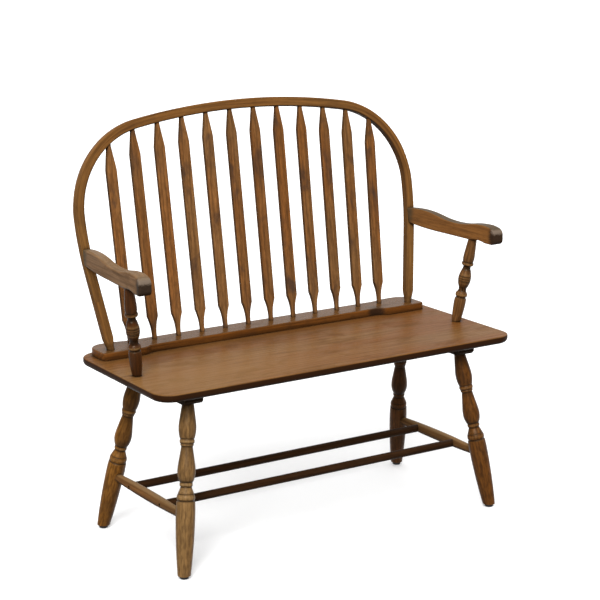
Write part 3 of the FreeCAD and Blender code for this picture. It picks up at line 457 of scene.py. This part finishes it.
legLook = {
    "wood": {
        "rings": 0.15, "streaks": 0.45, "flecks": 0.62, "patches": 0.45, "glazeAndShadeReach": 0.007,
        "rough": (0.30, 0.44), "gloss": 0.13,
    },
    # each leg's colours, and the painted highlight on its bead tops
    "each": {
        "front_left": {"light": (0.262, 0.145, 0.052), "dark": (0.072, 0.038, 0.015),
                       "warm": (0.240, 0.118, 0.038), "beadHighlight": (0.32, 0.20, 0.085)},
        "front_right": {"light": (0.160, 0.058, 0.011), "dark": (0.032, 0.012, 0.004),
                        "warm": (0.17, 0.055, 0.008), "beadHighlight": (0.19, 0.10, 0.036)},
        "back_left": {"light": (0.275, 0.115, 0.021), "dark": (0.050, 0.019, 0.004),
                      "warm": (0.24, 0.088, 0.012), "beadHighlight": (0.23, 0.13, 0.048)},
        "back_right": {"light": (0.165, 0.062, 0.018), "dark": (0.042, 0.017, 0.006),
                       "warm": (0.18, 0.062, 0.015), "beadHighlight": (0.11, 0.052, 0.018)},
    },
    "seed": (0.7, 0.3, 0.3),   # the first is for each leg in turn
    "spread": 0.1385, "lean": {"front": 0.1679, "back": -0.2230},   # for each metre up
    "headY": {"front": -0.1707, "back": 0.0828},
    "marks": (   # millimetres down from the underside of the cleat, and a shade: below 0.5 painted shade, above 0.5 painted highlight
        (0, 0.3), (18, 0.42), (45, 0.5), (83, 0.5), (86.5, 0.08), (89, 0.5), (92, 0.95), (95, 0.6),
        (98.6, 0.1), (101, 0.85), (104, 0.0), (107, 0.28), (125, 0.46), (150, 0.5), (182, 0.5),
        (189.5, 0.06), (192, 0.6), (194.5, 0.95), (197, 0.55), (200.3, 0.0), (204, 0.55), (211, 0.7),
        (215, 0.5), (217.2, 0.05), (220, 0.55), (224, 0.8), (229, 0.5), (232.8, 0.0), (237, 0.5),
        (300, 0.5)),
}
for number, (place, wood) in enumerate(legLook["each"].items()):
    end, side = place.split("_")
    low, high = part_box(f"seat_cleat_{side}")
    axis = (-sides[side] * legLook["spread"], legLook["lean"][end], 1)
    head = ((low.x + high.x) / 2, legLook["headY"][end], low.z)
    seed = (legLook["seed"][0] * number, *legLook["seed"][1:])
    look = {**legLook["wood"], **wood, "grain": axis, "seed": seed,
            "turned": {"axis": axis, "end": head, "marks": legLook["marks"]}}
    dress(woodMaterial(f"legWood_{place}", look), f"leg_{place}")


# Arm posts, raked outwards and forwards

postLook = {
    "wood": {"glazeAndShadeReach": 0.007, "dark": (0.030, 0.012, 0.004), "rough": (0.22, 0.34), "gloss": 0.16},
    "left": {"light": (0.092, 0.030, 0.008), "seed": (0.2, 0.6, 1.1)},
    "right": {"light": (0.225, 0.102, 0.032), "seed": (0.9, 0.6, 1.1)},
    "out": 0.1365, "lean": -0.1126,   # for each metre up
    "headX": 0.5065, "headY": -0.0842, "headAboveSeat": 0.222,
    "marks": (   # millimetres down from the underside of the arm, and a shade: below 0.5 painted shade, above 0.5 painted highlight
        (0, 0.5), (58, 0.5), (63, 0.05), (67, 0.95), (70.5, 0.4), (73, 0.0), (81, 0.05), (88, 0.45),
        (97, 0.8), (99.5, 0.5), (101.5, 0.0), (104.5, 0.85), (107.5, 0.0), (110.5, 0.85), (113.5, 0.0),
        (118, 0.75), (126, 0.4), (133, 0.05), (141, 0.1), (146, 0.5), (151, 0.95), (155, 0.4),
        (158, 0.0), (163, 0.5), (300, 0.5)),
}
for side, out in sides.items():
    axis = (out * postLook["out"], postLook["lean"], 1)
    head = (out * postLook["headX"], postLook["headY"], seatTop + postLook["headAboveSeat"])
    look = {**postLook["wood"], **postLook[side], "warm": postLook[side]["light"], "grain": axis,
            "turned": {"axis": axis, "end": head, "marks": postLook["marks"]}}
    dress(woodMaterial(f"postWood_{side}", look), f"arm_post_{side}")


# Arms: end grain at the nose with a painted highlight on its top, and painted shade beside the bow

armLook = {
    "wood": {"rough": (0.40, 0.55), "gloss": 0.05, "streaks": 0.55, "rings": 0.2},
    "left": {"light": (0.262, 0.150, 0.072), "dark": (0.092, 0.048, 0.022), "warm": (0.262, 0.130, 0.054),
             # painted sheen on the top faces
             "lightFromAbove": (0.55, (0.155, 0.100, 0.052))},
    "right": {"light": (0.280, 0.126, 0.036), "dark": (0.115, 0.047, 0.015), "warm": (0.30, 0.122, 0.031),
              # a darker painted sheen on the top faces, and painted shade along the edges
              "lightFromAbove": (0.9, (0.062, 0.043, 0.022)), "edgeWearAndShading": 0.8, "edgeWearAndShadingColour": (0.026, 0.016, 0.008)},
    "inwards": 0.09, "seed": (0.5, 0.8, 0.1),
    "noseOut": 0.01, "noseAboveSeat": 0.243, "bowX": 0.488, "bowAboveSeat": 0.248,
    "nose": {"reach": (0.07, 0.026, 0.06), "amount": 0.92, "colour": (0.022, 0.015, 0.011)},
    # painted highlight on the top of the nose
    "noseHighlight": {"reach": (0.05, 0.012, 0.012), "amount": 0.75, "colour": (0.20, 0.15, 0.11)},
    # painted shade where the arm meets the bow
    "shadeAtBow": {"reach": (0.05, 0.034, 0.05), "amount": 0.75, "colour": (0.055, 0.045, 0.026)},
}
for side, out in sides.items():
    low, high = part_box(f"arm_{side}")
    noseX = (low.x + high.x) / 2 + out * armLook["noseOut"]
    look = {**armLook["wood"], **armLook[side], "grain": (-out * armLook["inwards"], 1, 0),
            "seed": (out * armLook["seed"][0], *armLook["seed"][1:])}
    look["spots"] = (
        {**armLook["nose"], "at": (noseX, low.y - 0.002, seatTop + armLook["noseAboveSeat"])},
        {**armLook["noseHighlight"], "at": (noseX, low.y + 0.004, high.z - 0.012)},
        {**armLook["shadeAtBow"],
         "at": (out * armLook["bowX"], high.y + 0.004, seatTop + armLook["bowAboveSeat"])})
    dress(woodMaterial(f"armWood_{side}", look), f"arm_{side}")
print("legs, posts and arms done")


# Stretchers and cleats

sideStretcherLook = {
    "grain": (0, 1, 0), "seed": (0.3, 0.2, 0.8), "light": (0.18, 0.088, 0.030),
    # painted light on the top faces
    "dark": (0.05, 0.024, 0.009), "lightFromAbove": (0.6, (0.25, 0.15, 0.065)),
}
longStretcherLook = {
    "seed": (0.9, 0.1, 0.5), "light": (0.042, 0.017, 0.006), "dark": (0.011, 0.005, 0.002),
    "warm": (0.045, 0.017, 0.006),
}
cleatLook = {
    "grain": (0, 1, 0), "seed": (0.6, 0.4, 0.9), "light": (0.035, 0.018, 0.008),
    "dark": (0.014, 0.008, 0.004), "warm": (0.04, 0.018, 0.007), "rough": (0.55, 0.75),
}
dress(woodMaterial("sideStretcherWood", sideStretcherLook), "side_stretcher_left", "side_stretcher_right")
dress(woodMaterial("longStretcherWood", longStretcherLook), "long_stretcher_front", "long_stretcher_back")
dress(woodMaterial("cleatWood", cleatLook), "seat_cleat_left", "seat_cleat_right")
print("underframe done")


# Glides and screws

glideLook = {"colour": (0.012, 0.012, 0.012), "worn": (0.03, 0.03, 0.028), "metallic": 0.0,
             "rough": (0.45, 0.65), "grit": 900}
screwLook = {"colour": (0.10, 0.095, 0.09), "worn": (0.16, 0.14, 0.12), "metallic": 0.9,
             "rough": (0.35, 0.6), "grit": 700}
speckleLook = {"worn": (0.4, 0.7), "rough": (0.3, 0.7), "bump": 0.2, "bumpDepth": 0.0002}


def speckledMaterial(name, look):
    material, tree, shader = newMaterial(name)
    speckle = noise(tree, addNode(tree, "ShaderNodeTexCoord").outputs["Object"], scale=look["grit"])
    worn = ramp(tree, speckle, *speckleLook["worn"])
    feed(tree, shader.inputs["Base Color"], mix(tree, worn, look["colour"], look["worn"]))
    feed(tree, shader.inputs["Roughness"], ramp(tree, speckle, *speckleLook["rough"], *look["rough"]))
    feed(tree, shader.inputs["Metallic"], look["metallic"])
    feed(tree, shader.inputs["Normal"], addBump(tree, speckle, speckleLook["bump"], speckleLook["bumpDepth"]))
    return material


dress(speckledMaterial("glidePlastic", glideLook), *(f"foot_glide_{place}" for place in legLook["each"]))
dress(speckledMaterial("screwSteel", screwLook), "cleat_screws", "rail_screws", "arm_screws",
      "stretcher_screws")
print("glides and screws done")


# Floor

floorLook = {"reach": 30.0, "colour": (0.90, 0.90, 0.90), "glow": 0.12, "rough": 0.9, "gloss": 0.1}

reach = floorLook["reach"]
floorMesh = bpy.data.meshes.new("studioFloor")
floorMesh.from_pydata([(-reach, -reach, 0), (reach, -reach, 0), (reach, reach, 0), (-reach, reach, 0)],
                      [], [(0, 1, 2, 3)])
floor = bpy.data.objects.new("studioFloor", floorMesh)
bpy.context.scene.collection.objects.link(floor)
floorPaint, floorTree, floorShader = newMaterial("floorPaint")
for socket, value in (("Base Color", floorLook["colour"]), ("Roughness", floorLook["rough"]),
                      ("Specular IOR Level", floorLook["gloss"]), ("Emission Color", (1.0, 1.0, 1.0)),
                      ("Emission Strength", floorLook["glow"])):
    feed(floorTree, floorShader.inputs[socket], value)
floor.visible_diffuse = False   # the bench's light from below is the world's own, which is weaker
floor.visible_glossy = False
floorMesh.materials.append(floorPaint)


# Light: a bright ceiling, dim walls, a bounce from below, a fill from the far side and a soft sun

lightLook = {
    "ceiling": 1.20, "wall": 0.16, "wallToCeiling": (0.2, 0.95),   # by the height of the direction
    "bounce": 0.50, "bounceToWall": (-0.6, 0.0),
    "fill": 0.8, "fillFrom": (0.1, 1.2),                           # by its X and Y together
    "backdrop": (0.95, 0.95, 0.95),                                # what is seen past the floor
    "sun": {"at": (-1.9, -2.3, 2.35), "softness": math.radians(30), "power": 3.4},
}


def buildWorld(look):
    world = bpy.data.worlds.new("studioWorld")
    bpy.context.scene.world = world
    world.use_nodes = True
    sky = world.node_tree
    light = sky.nodes["Background"]
    toward = split(sky, addNode(sky, "ShaderNodeTexCoord").outputs["Generated"])
    lightFromAbove = ramp(sky, toward["Z"], *look["wallToCeiling"], look["wall"], look["ceiling"])
    below = ramp(sky, toward["Z"], *look["bounceToWall"], look["bounce"] - look["wall"], 0.0)
    behind = ramp(sky, calc(sky, "ADD", toward["X"], toward["Y"]), *look["fillFrom"], 0.0, look["fill"])
    feed(sky, light.inputs["Strength"], calc(sky, "ADD", behind, calc(sky, "ADD", lightFromAbove, below)))
    feed(sky, light.inputs["Color"], (1.0, 1.0, 1.0))
    backdrop = addNode(sky, "ShaderNodeBackground")
    feed(sky, backdrop.inputs["Color"], look["backdrop"])
    either = addNode(sky, "ShaderNodeMixShader")
    feed(sky, either.inputs["Fac"], addNode(sky, "ShaderNodeLightPath").outputs["Is Camera Ray"])
    sky.links.new(light.outputs[0], either.inputs[1])
    sky.links.new(backdrop.outputs[0], either.inputs[2])
    sky.links.new(either.outputs[0], sky.nodes["World Output"].inputs["Surface"])


def addSun(look):
    softSun = bpy.data.lights.new("softSun", "SUN")
    softSun.angle = look["softness"]
    softSun.energy = look["power"]
    lamp = bpy.data.objects.new("softSun", softSun)
    lamp.location = look["at"]
    lamp.rotation_euler = (-lamp.location).to_track_quat("-Z", "Y").to_euler()
    bpy.context.scene.collection.objects.link(lamp)


buildWorld(lightLook)
addSun(lightLook["sun"])


# Camera, as the photograph was taken

photoCamera = {"at": (-2.5535, -3.9438, 1.7139), "turn": 0.5789, "down": 0.2397,   # metres, radians
               "lens": 115.38, "sensor": 36}   # millimetres

cameraData = bpy.data.cameras.new("photoCamera")
cameraData.lens = photoCamera["lens"]
cameraData.sensor_width = photoCamera["sensor"]
camera = bpy.data.objects.new("photoCamera", cameraData)
camera.location = photoCamera["at"]
camera.rotation_euler = (math.pi / 2 - photoCamera["down"], 0, -photoCamera["turn"])
bpy.context.scene.collection.objects.link(camera)
bpy.context.scene.camera = camera
bpy.context.scene.view_settings.view_transform = "Standard"
print("studio done")
